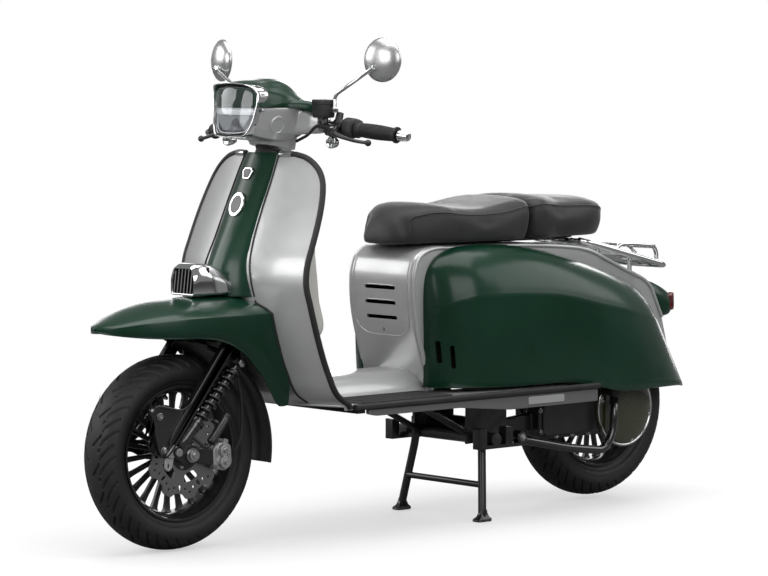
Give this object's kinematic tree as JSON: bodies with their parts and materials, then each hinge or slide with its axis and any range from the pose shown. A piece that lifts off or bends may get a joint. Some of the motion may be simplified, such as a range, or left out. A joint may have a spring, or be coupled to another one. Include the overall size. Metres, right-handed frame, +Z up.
{
  "type": "electric motor scooter",
  "caption": "Retro electric motor scooter in dark green and silver, with step-through floor, dual seat, chrome rack and mirrors, on its centre stand.",
  "frame": {"origin": "on the ground at mid length and mid width", "axes": "+X forward, +Y left, +Z up"},
  "size_m": [1.9244, 0.757, 1.199],
  "materials": {
    "body_green": "gloss",
    "silver": "gloss",
    "cover_cream": "satin",
    "skirt_grey": "satin",
    "frame_black": "satin",
    "black_plastic": "satin",
    "black_rubber": "matte",
    "tyre_rubber": "matte",
    "seat_cover": "matte",
    "chrome": "polished",
    "alloy": "satin",
    "disc_steel": "satin",
    "cover_olive": "satin",
    "lens_clear": "gloss",
    "lens_red": "gloss",
    "battery_case": "matte"
  },
  "bodies": {
    "chassis": {"main_frame": "frame_black", "legshield": "silver", "horn_casting": "body_green", "horn_grille": "chrome", "front_mudguard": "body_green", "glovebox": "cover_cream", "floor_pan": "silver", "floor_mats": "black_rubber", "edge_rails": "black_rubber", "side_skirts": "skirt_grey", "rear_body": "silver", "side_panel_left": "body_green", "side_panel_right": "body_green", "storage_tub": "black_plastic", "battery_pack": "battery_case", "rear_rack": "chrome", "tail_housing": "body_green", "tail_lens": "lens_red", "drive_unit": "frame_black", "hub_cover": "cover_olive", "guard_tube": "frame_black", "rear_shock": "frame_black"},
    "steering": {"fork": "frame_black", "fork_links": "frame_black", "front_shocks": "frame_black", "brake_caliper": "alloy", "inner_guard": "black_plastic", "headset_lower": "silver", "headset_upper": "body_green", "headlight_bezel": "chrome", "headlight_lens": "lens_clear", "handlebar": "frame_black", "grips": "black_rubber", "switchgear": "black_plastic", "levers": "frame_black", "indicators": "chrome", "mirrors": "chrome"},
    "front_wheel": {"front_rim": "frame_black", "front_tyre": "tyre_rubber", "brake_disc": "disc_steel"},
    "rear_wheel": {"rear_rim": "frame_black", "rear_tyre": "tyre_rubber"},
    "stand": {"centre_stand": "frame_black"},
    "seat": {"rider_seat": "seat_cover", "pillion_seat": "seat_cover", "seat_base": "black_plastic"},
    "glove_lid": {"glovebox_lid": "cover_cream"}
  },
  "joints": [
    {"name": "steering_turn", "type": "hinge", "parent": "chassis", "child": "steering", "pos_m": [0.7328, 0, 0.2294], "axis": [-0.4067, 0, 0.9135], "range_deg": [-40, 40]},
    {"name": "front_wheel_spin", "type": "hinge", "parent": "steering", "child": "front_wheel", "pos_m": [0.7328, 0, 0.2294], "axis": [0, 1, 0], "continuous": true},
    {"name": "rear_wheel_spin", "type": "hinge", "parent": "chassis", "child": "rear_wheel", "pos_m": [-0.6572, 0, 0.2454], "axis": [0, 1, 0], "continuous": true},
    {"name": "stand_swing", "type": "hinge", "parent": "chassis", "child": "stand", "pos_m": [-0.1572, 0, 0.205], "axis": [0, 1, 0], "range_deg": [0, 75]},
    {"name": "seat_lift", "type": "hinge", "parent": "chassis", "child": "seat", "pos_m": [0.0948, 0, 0.683], "axis": [0, 1, 0], "range_deg": [0, 60]},
    {"name": "glove_lid_swing", "type": "hinge", "parent": "chassis", "child": "glove_lid", "pos_m": [0.38079, 0, 0.5105], "axis": [0, -1, 0], "range_deg": [0, 80]}
  ]
}
